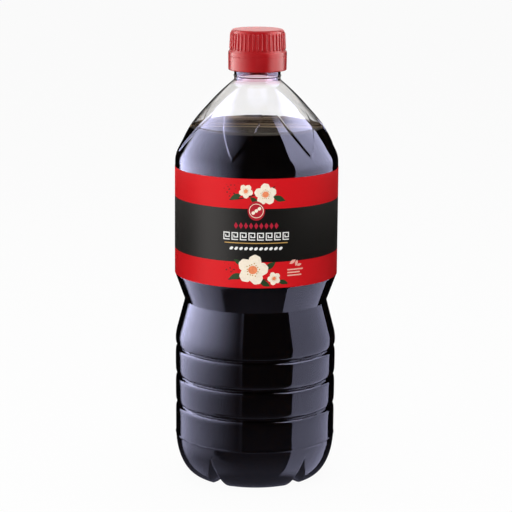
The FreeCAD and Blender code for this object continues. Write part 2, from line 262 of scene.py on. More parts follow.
def heel_points(sizes, count):
    """From the foot up the rounded heel: a quarter of an oval."""
    points = []
    reach = sizes.grip_radius - sizes.foot_radius
    for k in range(1, count + 1):
        turn = math.pi / 2 * k / count
        points.append(Vector((sizes.foot_radius + reach * math.sin(turn),
                              sizes.heel_height * (1 - math.cos(turn)))))
    for k in range(-3, 4):
        height = sizes.parting_height + 0.22 * MM * k
        turn = math.acos(1 - height / sizes.heel_height)
        points.append(Vector((sizes.foot_radius + reach * math.sin(turn), height)))
    return sorted(points, key=lambda point: point.y)


def underside_points(sizes, count):
    """From the middle of the domed underside out to the foot."""
    edge = sizes.foot_radius - sizes.foot_width
    points = []
    for k in range(count):
        share = k / count
        points.append(Vector((edge * share, sizes.push_up * (1 - share * share) ** 1.3)))
    return points + [Vector((edge, 0.0)), Vector((edge + sizes.foot_width / 2, 0.0)),
                     Vector((sizes.foot_radius, 0.0))]


def shoulder_points(sizes, count):
    """From the panel's top over a round corner and along one long arc to the neck."""
    start, finish = sizes.corner_lean, sizes.neck_lean
    points = []
    for k in range(1, 13):
        lean = start * k / 12
        points.append(Vector((sizes.panel_radius - sizes.corner_round * (1 - math.cos(lean)),
                              sizes.panel_top + sizes.corner_round * math.sin(lean))))
    corner = points[-1]
    drop = corner.x - sizes.neck_radius - 2.3 * MM
    radius = drop / (math.cos(start) - math.cos(finish))
    for k in range(1, count + 1):
        lean = start + (finish - start) * k / count
        points.append(Vector((corner.x - radius * (math.cos(start) - math.cos(lean)),
                              corner.y + radius * (math.sin(lean) - math.sin(start)))))
    return points


def outline(sizes):
    """The whole outside, from the middle of the underside to the mouth."""
    body = rounded_line([
        (sizes.grip_radius, sizes.heel_height, 0),
        (sizes.flare_radius, sizes.flare_height, 22 * MM),
        (sizes.waist_radius, sizes.waist_height, 0.8 * MM),
        (sizes.panel_radius, sizes.panel_foot, 2.2 * MM),
        (sizes.panel_radius, sizes.panel_top, 0),
    ], 1.1 * MM)
    body = finer_near_rings(sizes, body)
    shoulder = shoulder_points(sizes, 48)
    root = shoulder[-1]
    neck = rounded_line([
        (root.x, root.y, 0),
        (sizes.neck_radius, root.y + 2.0 * MM, 0.9 * MM),
        (sizes.neck_radius, root.y + 3.6 * MM, 0.3 * MM),
        (sizes.neck_radius + 0.4 * MM, root.y + 4.1 * MM, 0.25 * MM),
        (sizes.neck_radius, root.y + 4.6 * MM, 0.3 * MM),
        (sizes.neck_radius, sizes.mouth_height, 0),
    ], 0.9 * MM)
    points = underside_points(sizes, 14)
    points += heel_points(sizes, 20)
    points += body[1:]
    points += shoulder
    points += neck[1:]
    return points


def finer_near_rings(sizes, points):
    """Add points halfway, twice, wherever a grip ring is near."""
    for _ in range(2):
        dense = [points[0]]
        for point in points[1:]:
            middle = (dense[-1] + point) / 2
            if ring_hollow(sizes, middle.y) > 0.22 * MM:
                dense.append(middle)
            dense.append(point)
        points = dense
    return points


def normals(points):
    """Outward unit normals of an outline that runs upwards."""
    made = []
    for index in range(len(points)):
        before = points[max(0, index - 1)]
        after = points[min(len(points) - 1, index + 1)]
        along = (after - before).normalized()
        made.append(Vector((along.y, -along.x)))
    return made


def ring_hollow(sizes, height):
    """Depth of the grip rings at a height."""
    depth = 0.0
    for index in range(sizes.ring_count):
        away = (height - sizes.ring_low - index * sizes.ring_pitch) / sizes.ring_width
        if abs(away) < 7:
            depth += sizes.ring_depth * (0.86 * math.exp(-away * away) + 0.14 * math.exp(-away * away / 8))
    return depth


def nearest_turn(turn, count, offset):
    """Signed angle from a turn to the nearest of evenly spaced places."""
    pitch = 2 * math.pi / count
    return (turn - offset + pitch / 2) % pitch - pitch / 2


def notch_hollow(sizes, turn, radius, height, under):
    """Depth of the foot notches; under is true on the underside."""
    away = abs(nearest_turn(turn, sizes.notch_count, sizes.notch_turn)) * radius
    if under:
        share = smooth_step(radius, 9 * MM, sizes.foot_radius)
    else:
        share = 1 - height / sizes.notch_height
    if share <= 0:
        return 0.0
    width = sizes.notch_width * share
    if away >= width:
        return 0.0
    return sizes.notch_depth * share ** 0.7 * (1 - away / width) ** 0.85


def crease_proud(sizes, turn, radius, height):
    """How far the panel inside a V stands proud of the shoulder."""
    proud = 0.0
    for index in range(sizes.crease_count):
        middle = sizes.crease_turn + index * 2 * math.pi / sizes.crease_count
        share = (height - sizes.crease_low) / (sizes.left_top - sizes.crease_low)
        if not 0 < share < 1:
            continue
        away = (turn - middle + math.pi) % (2 * math.pi) - math.pi
        right = sizes.right_sweep * (height - sizes.crease_low) / (sizes.right_top - sizes.crease_low)
        from_left = (away - sizes.left_sweep * share) * radius
        from_right = (right - away) * radius
        half = sizes.crease_width
        inside = smooth_step(from_left, -half, half) * smooth_step(from_right, -half, half)
        fade = min(1.0, 2.6 * (1 - share)) * min(1.0, 0.35 + 6 * share)
        proud = max(proud, sizes.crease_depth * fade * inside)
    return proud


def parting_proud(sizes, height):
    """How far the level mould line stands proud at a height."""
    away = (height - sizes.parting_height) / (0.32 * MM)
    return 1.7 * sizes.seam_height * math.exp(-away * away) if abs(away) < 3 else 0.0


COARSE, FINE = 180, 360
FOOT_FADE, CREASE_FADE = 6 * MM, 6 * MM


def crease_columns(sizes, height):
    """Turns of one ring's columns, gathered along both arms of every V."""
    half = sizes.crease_width / (0.9 * sizes.panel_radius)
    pitch = 2 * math.pi / sizes.crease_count
    per_pitch = FINE // sizes.crease_count
    share = (height - sizes.crease_low) / (sizes.left_top - sizes.crease_low)
    left = min(-1.3 * half, sizes.left_sweep * min(1.0, max(0.0, share)))
    share = (height - sizes.crease_low) / (sizes.right_top - sizes.crease_low)
    right = max(1.3 * half, sizes.right_sweep * min(1.0, max(0.0, share)))
    inside = 14
    outside = per_pitch - inside - 18
    turns = []
    for index in range(sizes.crease_count):
        middle = sizes.crease_turn + index * pitch
        turns += [middle + left + half * k / 4 for k in range(-4, 5)]
        first, last = middle + left + half, middle + right - half
        turns += [first + (last - first) * k / (inside + 1) for k in range(1, inside + 1)]
        turns += [middle + right + half * k / 4 for k in range(-4, 5)]
        first, last = middle + right + half, middle + left - half + pitch
        turns += [first + (last - first) * k / (outside + 1) for k in range(1, outside + 1)]
    return turns


def notch_columns(sizes, radius, height):
    """Turns of one ring's columns, gathered across every foot notch."""
    share = max(0.12, 1 - height / sizes.notch_height)
    pitch = 2 * math.pi / sizes.notch_count
    half = min(0.4 * pitch, sizes.notch_width * share / max(radius, MM))
    per_pitch = FINE // sizes.notch_count
    rest = per_pitch - 17
    turns = []
    for index in range(sizes.notch_count):
        middle = sizes.notch_turn + index * pitch
        turns += [middle + half * k / 8 for k in range(-8, 9)]
        first, last = middle + half, middle + pitch - half
        turns += [first + (last - first) * k / (rest + 1) for k in range(1, rest + 1)]
    return turns


def ring_columns(sizes, point, foot, shoulder):
    """Turns of a ring's columns, and how many places they start round from the front."""
    count, start, blend = COARSE, 0.0, 0.0
    if foot:
        gathered = notch_columns(sizes, point.x, point.y)
        blend = 1 - smooth_step(point.y, sizes.notch_height, sizes.notch_height + FOOT_FADE)
        blend *= smooth_step(point.x, 8 * MM, 14 * MM)
        count, start = FINE, sizes.notch_turn
    elif shoulder:
        gathered = crease_columns(sizes, point.y)
        blend = smooth_step(point.y, sizes.crease_low - CREASE_FADE, sizes.crease_low - MM)
        blend *= 1 - smooth_step(point.y, sizes.right_top, sizes.right_top + 5 * MM)
        count, start = FINE, sizes.crease_turn
    pitch = 2 * math.pi / count
    shift = round(start / pitch)
    turns = [pitch * (i + shift) for i in range(count)]
    if foot or shoulder:
        turns = [plain + (near - plain) * blend for plain, near in zip(turns, gathered)]
    elif sizes.parting_height < point.y < sizes.waist_height:
        nearest = round(sizes.seam_turn / pitch)
        for k in (-1, 0, 1):
            turns[(nearest + k) % count] = sizes.seam_turn + 0.36 * pitch * k
    return turns, shift


def skin_ring(sizes, point, normal, inset, under):
    """One ring of the skin, with the relief pressed into it."""
    if point.x < 1e-6:
        return [(0.0, 0.0, point.y + inset)]
    foot = point.y < sizes.notch_height + FOOT_FADE and point.x > 8 * MM
    shoulder = sizes.crease_low - CREASE_FADE < point.y < sizes.right_top + 5 * MM
    turns, shift = ring_columns(sizes, point, foot, shoulder)
    level = inset + ring_hollow(sizes, point.y) - (0.0 if under else parting_proud(sizes, point.y))
    ring = []
    for turn in turns:
        depth = level
        if foot:
            depth += notch_hollow(sizes, turn, point.x, point.y, under)
        elif shoulder:
            depth -= crease_proud(sizes, turn, point.x, point.y)
        elif turn == sizes.seam_turn:
            depth -= sizes.seam_height
        place = point - normal * depth
        ring.append((place.x * math.sin(turn), -place.x * math.cos(turn), place.y))
    first = -shift % len(ring)
    return ring[first:] + ring[:first]


def skin_rings(sizes, inset, low=-1.0, high=1.0):
    """Rings of the skin between two heights, drawn in by an inset."""
    points = outline(sizes)
    outward = normals(points)
    foot_index = max(i for i, p in enumerate(points) if p.y < 1e-6)
    rings = []
    for index, (point, normal) in enumerate(zip(points, outward)):
        under = index <= foot_index
        if low < point.y < high:
            rings.append(skin_ring(sizes, point, normal, inset, under))
    return rings


# ------------------------------------------------------------------ materials

def principled(name, base, roughness, **sockets):
    """A material whose even values stand on the shader's own sockets."""
    material = bpy.data.materials.new(name)
    material.use_nodes = True
    shader = material.node_tree.nodes["Principled BSDF"]
    shader.inputs["Base Color"].default_value = (*base, 1.0)
    shader.inputs["Roughness"].default_value = roughness
    for socket, value in sockets.items():
        shader.inputs[socket.replace("_", " ")].default_value = value
    return material, material.node_tree, shader


class Value:
    """What comes out of a node; arithmetic on a number adds Math nodes."""

    def __init__(self, tree, socket):
        self.tree = tree
        self.socket = socket

    def math(self, operation, *others, clamp=False):
        inputs = dict(enumerate((self, *others)))
        return from_node(self.tree, "ShaderNodeMath", inputs, operation=operation, use_clamp=clamp)

    def __add__(self, other):
        return self.math("ADD", other)

    def __mul__(self, other):
        return self.math("MULTIPLY", other)

    def __truediv__(self, other):
        return self.math("DIVIDE", other)

    def __sub__(self, other):
        return self.math("SUBTRACT", other)

    def __rsub__(self, other):
        return self.math("MULTIPLY_ADD", -1.0, other)

    def ramp(self, low, high, first=0.0, last=1.0, shape="LINEAR"):
        """Goes from first to last while the number goes from low to high."""
        return from_node(self.tree, "ShaderNodeMapRange", {
            "Value": self, "From Min": low, "From Max": high, "To Min": first, "To Max": last},
            interpolation_type=shape)

    def ease(self, low, high, first=0.0, last=1.0):
        return self.ramp(low, high, first, last, "SMOOTHSTEP")


def add_node(tree, kind, inputs=None, **settings):
    """A node with its settings, and its inputs either linked or set."""
    node = tree.nodes.new(kind)
    for key, value in settings.items():
        setattr(node, key, value)
    for key, value in (inputs or {}).items():
        if isinstance(value, Value):
            tree.links.new(value.socket, node.inputs[key])
        else:
            node.inputs[key].default_value = value
    return node


def from_node(tree, kind, inputs=None, output=0, **settings):
    """One output of a new node."""
    return Value(tree, add_node(tree, kind, inputs, **settings).outputs[output])


def object_place(tree):
    """Object coordinates, whole and as three numbers."""
    place = from_node(tree, "ShaderNodeTexCoord", output="Object")
    split = add_node(tree, "ShaderNodeSeparateXYZ", {0: place})
    return place, *(Value(tree, socket) for socket in split.outputs)


def noise(tree, place, scale, detail):
    return from_node(tree, "ShaderNodeTexNoise", {"Vector": place, "Scale": scale, "Detail": detail})


def bumpy(tree, shader, height, strength, distance):
    """Bumps of a height on the shader's surface."""
    bump = from_node(tree, "ShaderNodeBump", {"Strength": strength, "Distance": distance, "Height": height})
    tree.links.new(bump.socket, shader.inputs["Normal"])


def mix_colours(tree, share, first, second, blend="MIX"):
    """The first colour where the share is zero, the second where it is one."""
    first, second = (colour if isinstance(colour, Value) else (*colour, 1.0) for colour in (first, second))
    return from_node(tree, "ShaderNodeMix", {"Factor": share, "A": first, "B": second}, "Result",
                     data_type="RGBA", blend_type=blend)


def varied(tree, base, amount, wander):
    """A colour that wanders a little lighter and darker with a noise."""
    factor = wander * (2 * amount) + (1 - amount)
    grey = from_node(tree, "ShaderNodeCombineColor", {0: factor, 1: factor, 2: factor})
    return mix_colours(tree, 1.0, base, grey, "MULTIPLY")


def plastic_clear():
    """Clear blown plastic, with a painted reflection of the red cap as a pink tint in the neck."""
    material, tree, shader = principled(
        "clear_blown_plastic", (1.0, 1.0, 1.0), 0.0, Transmission_Weight=1.0, IOR=1.5)
    place, x, y, z = object_place(tree)
    # painted reflection: the pink tint in the neck stands in for the red cap mirrored and seen through in it
    neck = z.ramp(210.2 * MM, 211.6 * MM)
    tint = mix_colours(tree, neck, (1.0, 1.0, 1.0), (0.90, 0.72, 0.78))
    tree.links.new(tint.socket, shader.inputs["Base Color"])
    bumpy(tree, shader, noise(tree, place, 30.0, 0.0), 0.05, 0.0002)
    return material


def sauce_dark():
    """Soy sauce: near black, with a painted reflection of the light above on its open surface: brown streaks,
    a pale line and an evener tone towards the front.
    """
    deep = (0.004, 0.002, 0.0012)
    material, tree, shader = principled("soy_sauce", deep, 0.04, IOR=1.33, Specular_IOR_Level=0.12)
    place, x, y, z = object_place(tree)
    surface = z.ramp(SAUCE_HIGH.z - 1.2 * MM, SAUCE_HIGH.z - 0.6 * MM)
    long_way = from_node(tree, "ShaderNodeMapping", {"Vector": place, "Scale": (9.0, 95.0, 1.0)})
    swirl = noise(tree, long_way, 2.2, 3.0)
    # painted reflection: the streaks, the evener front band and the pale line stand in for the light above
    # mirrored on the open surface
    painted_reflection_streaks = mix_colours(tree, swirl.ramp(0.40, 0.60), (0.040, 0.026, 0.016), (0.30, 0.22, 0.15))
    painted_reflection_front = mix_colours(tree, y.ramp(-4 * MM, -9 * MM), painted_reflection_streaks, (0.105, 0.092, 0.078))
    line = (swirl * (3 * MM) + y + 3.5 * MM).math("ABSOLUTE").math("LESS_THAN", 1.2 * MM)
    with_painted_glint_line = mix_colours(tree, line, painted_reflection_front, (0.50, 0.40, 0.28))
    whole = mix_colours(tree, surface, deep, with_painted_glint_line)
    tree.links.new(whole.socket, shader.inputs["Base Color"])
    bumpy(tree, shader, swirl * surface, 0.12, 0.0004)
    return material


def cap_plastic():
    """Satin red moulded plastic with fine flow marks."""
    red = (0.33, 0.003, 0.006)
    material, tree, shader = principled("red_cap_plastic", red, 0.34, IOR=1.5, Specular_IOR_Level=0.30)
    place = object_place(tree)[0]
    cloud = noise(tree, place, 160.0, 4.0)
    tree.links.new(varied(tree, red, 0.10, cloud).socket, shader.inputs["Base Color"])
    tree.links.new((cloud * 0.12 + 0.28).socket, shader.inputs["Roughness"])
    bumpy(tree, shader, noise(tree, place, 2600.0, 2.0), 0.18, 0.00012)
    return material


def film_plastic(name, base):
    """Satin printed film with faint waves from the wrap; gives its place, height and grain too."""
    material, tree, shader = principled(name, base, 0.45, IOR=1.5, Specular_IOR_Level=0.28)
    place, x, y, z = object_place(tree)
    grain = noise(tree, place, 900.0, 2.0)
    bumpy(tree, shader, grain * 0.05 + noise(tree, place, 26.0, 1.5), 0.16, 0.0004)
    tree.links.new((grain * 0.10 + 0.40).socket, shader.inputs["Roughness"])
    return material, tree, shader, place, z, grain


def label_film():
    """The wrap: red, black and red bands by height on the label."""
    prints = bpy.context.scene.bottle_print
    red, black = tuple(prints.red), tuple(prints.black)
    material, tree, shader, place, z, grain = film_plastic("label_film", red)
    above = z.math("GREATER_THAN", LABEL_LOW.z + prints.black_low)
    below = z.math("LESS_THAN", LABEL_LOW.z + prints.black_high)
    bands = mix_colours(tree, above * below, varied(tree, red, 0.04, grain), varied(tree, black, 0.04, grain))
    tree.links.new(bands.socket, shader.inputs["Base Color"])
    return material


def ink(name, base, shade=0.08):
    """One printed colour, with the film's own finish."""
    base = tuple(base)
    material, tree, shader, place = film_plastic("ink_" + name, base)[:4]
    mottle = noise(tree, place, 700.0, 3.0)
    tree.links.new(varied(tree, base, shade, mottle).socket, shader.inputs["Base Color"])
    return material


# ------------------------------------------------------------------ piece helpers

def finish_piece(piece, material=None):
    """Ride on the body and take the material."""
    if material is not None:
        piece.data.materials.clear()
        piece.data.materials.append(material)
    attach(piece, BODY)
    return piece


def node_group(name, inputs):
    """A new Geometry Nodes tree, and its inputs by name."""
    tree = bpy.data.node_groups.new(name, "GeometryNodeTree")
    tree.interface.new_socket("Geometry", in_out="OUTPUT", socket_type="NodeSocketGeometry")
    inputs = {"Geometry": "Geometry", **inputs, "Material": "Material"}
    for label, kind in inputs.items():
        tree.interface.new_socket(label, in_out="INPUT", socket_type="NodeSocket" + kind)
    start = tree.nodes.new("NodeGroupInput")
    return tree, {label: Value(tree, start.outputs[label]) for label in inputs}


def end_group(tree, made, material):
    """End a tree with what it made, in its material."""
    dressed = add_node(tree, "GeometryNodeSetMaterial", {"Geometry": made, "Material": material})
    tree.links.new(dressed.outputs[0], tree.nodes.new("NodeGroupOutput").inputs[0])
    return tree


def run_nodes(piece, tree, values):
    """Run a tree on a piece with the named values and keep the result as its plain mesh."""
    modifier = piece.modifiers.new(tree.name, "NODES")
    modifier.node_group = tree
    for item in tree.interface.items_tree:
        if item.in_out == "INPUT" and item.name in values:
            modifier[item.identifier] = values[item.name]
    evaluated = piece.evaluated_get(bpy.context.evaluated_depsgraph_get())
    mesh = bpy.data.meshes.new_from_object(evaluated)
    piece.modifiers.remove(modifier)
    piece.data = mesh
    return piece


# ------------------------------------------------------------------ bottle and sauce

def hidden_rings(sizes, outer):
    """Inside of the shell below the surface, deep in the dark sauce where it can't be seen."""
    floor = 12 * MM
    rings = [[(0.0, 0.0, floor)], ring_at(26 * MM, floor, COARSE)]
    sides = [ring[0] for ring in outer if floor < ring[0][2] < sizes.level - 4 * MM]
    sides = [(math.hypot(x, y), z) for x, y, z in sides]
    return rings + [ring_at(radius - 2.6 * MM, z, COARSE) for radius, z in sides if radius > 9 * MM][::8]


class BOTTLE_OT_shell(bpy.types.Operator):
    """Make the clear blown shell with its rings, notches and creases"""
    bl_idname = "bottle.shell"
    bl_label = "Clear shell"

    def execute(self, context):
        sizes = context.scene.bottle_sizes
        outer = skin_rings(sizes, 0.0)
        neck_root = shoulder_points(sizes, 1)[-1].y
        clear = skin_rings(sizes, sizes.wall, low=sizes.level - 3 * MM, high=neck_root)
        bore = sizes.neck_radius - sizes.neck_wall
        bore_rings = [ring_at(bore, height, COARSE) for height in (neck_root + 2.4 * MM, sizes.mouth_height)]
        inner = hidden_rings(sizes, outer) + clear + bore_rings
        vertices, faces = shell_mesh(outer + inner[::-1])
        shell = new_object("clear_shell", vertices, faces)
        finish_piece(shell, plastic_clear())
        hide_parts("bottle")
        return {"FINISHED"}


class BOTTLE_OT_sauce(bpy.types.Operator):
    """Fill the shell with sauce that reaches just into its wall"""
    bl_idname = "bottle.sauce"
    bl_label = "Sauce"

    def execute(self, context):
        sizes = context.scene.bottle_sizes
        into_wall = sizes.wall * 0.55
        rings = skin_rings(sizes, into_wall, high=sizes.level - 0.2 * MM)
        shore = rings[-1]
        edge = math.hypot(*shore[0][:2])
        for away, drop in ((0.0, -0.45), (0.5, 0.05), (1.1, 0.3), (2.2, 0.45), (4.5, 0.5)):
            share = 1 - away * MM / edge
            rings.append([(x * share, y * share, sizes.level - drop * MM) for x, y, z in shore])
        for share in (0.75, 0.5, 0.25):
            rings.append(ring_at(edge * share, sizes.level - 0.5 * MM, COARSE))
        rings.append([(0.0, 0.0, sizes.level - 0.5 * MM)])
        vertices, faces = shell_mesh(rings)
        sauce = new_object("soy_sauce", vertices, faces)
        finish_piece(sauce, sauce_dark())
        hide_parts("sauce")
        return {"FINISHED"}


# ------------------------------------------------------------------ cap

def cap_rings(cap, radius, foot, head):
    """Outline of the cap without its ribs, from inside the top round to the rim."""
    root = radius - cap.skirt_step
    crown = root - cap.draft
    bore = radius - cap.wall
    skirt_top = foot + cap.skirt_height
    tear = foot + cap.tear_height
    outer = rounded_line([
        (bore, foot + 0.05 * MM, 0),
        (radius - 0.1 * MM, foot, 0.55 * MM),
        (radius, tear - 0.16 * MM, 0.1 * MM),
        (radius - cap.tear_depth, tear, 0),
        (radius, tear + 0.16 * MM, 0.1 * MM),
        (radius - 0.02 * MM, skirt_top - 0.5 * MM, 0.5 * MM),
        (root, skirt_top + 0.9 * MM, 0.35 * MM),
        (crown, head - 0.35 * MM, cap.rim_round),
        (0.0, head, 0),
    ], 1.2 * MM)
    inner = [Vector((0.0, head - cap.top)), Vector((bore, head - cap.top)), Vector((bore, foot + 0.6 * MM))]
    return outer, inner


def rib_tree():
    """Geometry Nodes: upright round-ended ribs set evenly round a leaning wall."""
    tree, given = node_group("cap_ribs", {
        "Count": "Int", "Foot Radius": "Float", "Head Radius": "Float", "Foot": "Float", "Head": "Float",
        "Round": "Float"})
    low = from_node(tree, "ShaderNodeCombineXYZ", {0: given["Foot Radius"], 2: given["Foot"]})
    high = from_node(tree, "ShaderNodeCombineXYZ", {0: given["Head Radius"], 2: given["Head"]})
    line = from_node(tree, "GeometryNodeCurvePrimitiveLine", {"Start": low, "End": high})
    line = from_node(tree, "GeometryNodeResampleCurve", {"Curve": line, "Count": 15})
    along = from_node(tree, "GeometryNodeSplineParameter", output="Factor")
    from_middle = 1.0 - along.math("MINIMUM", 1.0 - along).math("MULTIPLY", 9.0, clamp=True)
    taper = (1.0 - from_middle * from_middle).math("SQRT").math("MAXIMUM", 0.05)
    circle = from_node(tree, "GeometryNodeCurvePrimitiveCircle", {"Resolution": 12, "Radius": 1.0})
    rib = from_node(tree, "GeometryNodeCurveToMesh", {
        "Curve": line, "Profile Curve": circle, "Scale": taper * given["Round"], "Fill Caps": True})
    points = from_node(tree, "GeometryNodePoints", {"Count": given["Count"]})
    turn = from_node(tree, "GeometryNodeInputIndex") * (2 * math.pi) / given["Count"]
    facing = from_node(tree, "ShaderNodeCombineXYZ", {2: turn})
    spun = from_node(tree, "GeometryNodeInstanceOnPoints", {
        "Points": points, "Instance": rib, "Rotation": facing})
    real = from_node(tree, "GeometryNodeRealizeInstances", {0: spun})
    joined = add_node(tree, "GeometryNodeJoinGeometry")
    for piece in (given["Geometry"], from_node(tree, "GeometryNodeSetShadeSmooth", {0: real})):
        tree.links.new(piece.socket, joined.inputs[0])
    return end_group(tree, Value(tree, joined.outputs[0]), given["Material"])


CAP_COLUMNS = 240
BRIDGE_HALF = 0.04
RIB_SINK = 0.05 * MM


def cap_ring(cap, point, foot):
    """One ring of the cap; its bridges fill the tear line."""
    if point.x < 1e-6:
        return [(0.0, 0.0, point.y)]
    ring = ring_at(point.x, point.y, CAP_COLUMNS)
    if abs(point.y - foot - cap.tear_height) < 1e-7:
        bridged = ring_at(point.x + cap.tear_depth, point.y, CAP_COLUMNS)
        for i in range(CAP_COLUMNS):
            if abs(nearest_turn(2 * math.pi * i / CAP_COLUMNS, cap.tear_count, 0.0)) < BRIDGE_HALF:
                ring[i] = bridged[i]
    return ring


class BOTTLE_OT_cap(bpy.types.Operator):
    """Make the ribbed screw cap with its tear band"""
    bl_idname = "bottle.cap"
    bl_label = "Screw cap"

    def execute(self, context):
        cap = context.scene.bottle_cap
        radius, foot, head = CAP_HIGH.x, CAP_LOW.z, CAP_HIGH.z
        outer, inner = cap_rings(cap, radius, foot, head)
        rings = [cap_ring(cap, point, foot) for point in outer + inner]
        vertices, faces = shell_mesh(rings[:len(outer)])
        inside, inside_faces = shell_mesh(rings[len(outer):] + rings[:1])
        faces += [tuple(i + len(vertices) for i in face) for face in inside_faces]
        made = new_object("screw_cap", vertices + inside, faces)
        weld(made)
        root = radius - cap.skirt_step - RIB_SINK
        material = cap_plastic()
        run_nodes(made, rib_tree(), {
            "Count": cap.rib_count, "Foot Radius": root, "Head Radius": root - cap.draft,
            "Foot": foot + cap.skirt_height + 0.45 * MM, "Head": head - cap.rim_round - 0.15 * MM,
            "Round": cap.rib_radius, "Material": material})
        finish_piece(made, material)
        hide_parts("cap")
        return {"FINISHED"}


def weld(piece):
    """Join doubled points and face every face outwards."""
    import bmesh
    work = bmesh.new()
    work.from_mesh(piece.data)
    bmesh.ops.remove_doubles(work, verts=work.verts, dist=1e-6)
    bmesh.ops.recalc_face_normals(work, faces=work.faces)
    work.to_mesh(piece.data)
    work.free()


# ------------------------------------------------------------------ label

LEVELS = 28


class BOTTLE_OT_label(bpy.types.Operator):
    """Wrap the printed film round the panel, with its glued lap at the back"""
    bl_idname = "bottle.label"
    bl_label = "Label film"

    def execute(self, context):
        prints = context.scene.bottle_print
        low, high = LABEL_LOW.z, LABEL_HIGH.z
        outside = film_radius()
        inside = outside - prints.film
        levels = [low + (high - low) * k / LEVELS for k in range(LEVELS + 1)]
        rings = [ring_at(inside, low, FINE)]
        for height in levels:
            ring = ring_at(outside, height, FINE)
            lapped = ring_at(outside + prints.film_gap, height, FINE)
            for i in range(FINE):
                if 0 < 2 * math.pi * i / FINE - math.pi < prints.lap:
                    ring[i] = lapped[i]
            rings.append(ring)
        rings.append(ring_at(inside, high, FINE))
        film = new_object("label_wrap", *shell_mesh(rings, closed=True))
        film.data.set_sharp_from_angle(angle=math.radians(40))
        finish_piece(film, label_film())
        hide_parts("label")
        return {"FINISHED"}


def film_radius():
    """Outside of the printed film, a little inside its frame ring."""
    return LABEL_HIGH.x - bpy.context.scene.bottle_print.film_gap


class Flat:
    """A flat drawing in millimetres: across the label, up the label, and its ink layer."""

    def __init__(self):
        self.vertices = []
        self.faces = []

    def fan(self, centre, edge, layer, rings=3, spokes=32):
        """Fill a star-shaped patch; edge(turn) gives its reach from the centre."""
        first = len(self.vertices)
        self.vertices.append((centre[0], centre[1], layer))
        for ring in range(1, rings + 1):
            for spoke in range(spokes):
                turn = 2 * math.pi * spoke / spokes
                across, up = edge(turn)
                share = ring / rings
                self.vertices.append((centre[0] + across * share, centre[1] + up * share, layer))
        for spoke in range(spokes):
            after = (spoke + 1) % spokes
            self.faces.append((first, first + 1 + spoke, first + 1 + after))
            for ring in range(rings - 1):
                a = first + 1 + ring * spokes
                b = a + spokes
                self.faces.append((a + spoke, b + spoke, b + after, a + after))

    def ribbon(self, left, right, layer):
        """Fill between two lines of as many points, the first on the left of the way."""
        first = len(self.vertices)
        count = len(left)
        self.vertices += [(x, y, layer) for x, y in left] + [(x, y, layer) for x, y in right]
        for i in range(count - 1):
            self.faces.append((first + i, first + count + i, first + count + i + 1, first + i + 1))

    def oval(self, centre, long_way, short_way, tilt, layer, pointed=0.0, rings=3, spokes=32):
        """An oval, or with pointed above zero a leaf, turned by a tilt in degrees."""
        turned = math.radians(tilt)

        def edge(turn):
            across = long_way * math.cos(turn)
            up = short_way * math.sin(turn) * (1 - pointed * abs(math.cos(turn)) ** 2)
            return (across * math.cos(turned) - up * math.sin(turned),
                    across * math.sin(turned) + up * math.cos(turned))
        self.fan(centre, edge, layer, rings, spokes)

    def arc_band(self, centre, outer, inner, start, stop, layer, pieces=14):
        """A curved band between two radii, from one angle to another in degrees."""
        turns = [math.radians(start + (stop - start) * k / pieces) for k in range(pieces + 1)]
        rim = [(centre[0] + outer * math.cos(t), centre[1] + outer * math.sin(t)) for t in turns]
        core = [(centre[0] + inner * math.cos(t), centre[1] + inner * math.sin(t)) for t in turns]
        self.ribbon(core, rim, layer)

    def bar(self, left, right, low, high, layer):
        """A level bar, cut short enough to follow the wrap."""
        pieces = max(1, math.ceil((right - left) / 0.8))
        xs = [left + (right - left) * k / pieces for k in range(pieces + 1)]
        self.ribbon([(x, high) for x in xs], [(x, low) for x in xs], layer)


def wrap_tree():
    """Geometry Nodes: repeat a flat drawing in a row and lay it round the label."""
    tree, given = node_group("row_round_label", {
        "Count": "Int", "Pitch": "Float", "Radius": "Float", "Foot": "Float", "Layer": "Float"})
    row = (given["Count"] - 1.0) * given["Pitch"]
    across = from_node(tree, "GeometryNodeInputIndex") * given["Pitch"] + row * -0.5
    spot = from_node(tree, "ShaderNodeCombineXYZ", {0: across})
    points = from_node(tree, "GeometryNodePoints", {"Count": given["Count"], "Position": spot})
    placed = from_node(tree, "GeometryNodeInstanceOnPoints", {
        "Points": points, "Instance": given["Geometry"]})
    real = from_node(tree, "GeometryNodeRealizeInstances", {0: placed})
    position = from_node(tree, "GeometryNodeInputPosition")
    flat = add_node(tree, "ShaderNodeSeparateXYZ", {0: position})
    across, up, layer = (Value(tree, socket) for socket in flat.outputs)
    turn = across * MM / given["Radius"]
    reach = layer * given["Layer"] + given["Radius"]
    wrapped = from_node(tree, "ShaderNodeCombineXYZ", {
        0: turn.math("SINE") * reach, 1: turn.math("COSINE") * reach * -1.0, 2: up * MM + given["Foot"]})
    bent = from_node(tree, "GeometryNodeSetPosition", {0: real, "Position": wrapped})
    return end_group(tree, bent, given["Material"])


def print_on_label(name, drawing, material, count=1, pitch=0.0):
    """Lay a drawing, repeated in a level row, on the film."""
    tree = bpy.data.node_groups.get("row_round_label") or wrap_tree()
    piece = new_object(name, drawing.vertices, drawing.faces)
    run_nodes(piece, tree, {
        "Count": count, "Pitch": pitch, "Radius": film_radius(), "Foot": LABEL_LOW.z,
        "Layer": bpy.context.scene.bottle_print.layer, "Material": material})
    return finish_piece(piece, material)


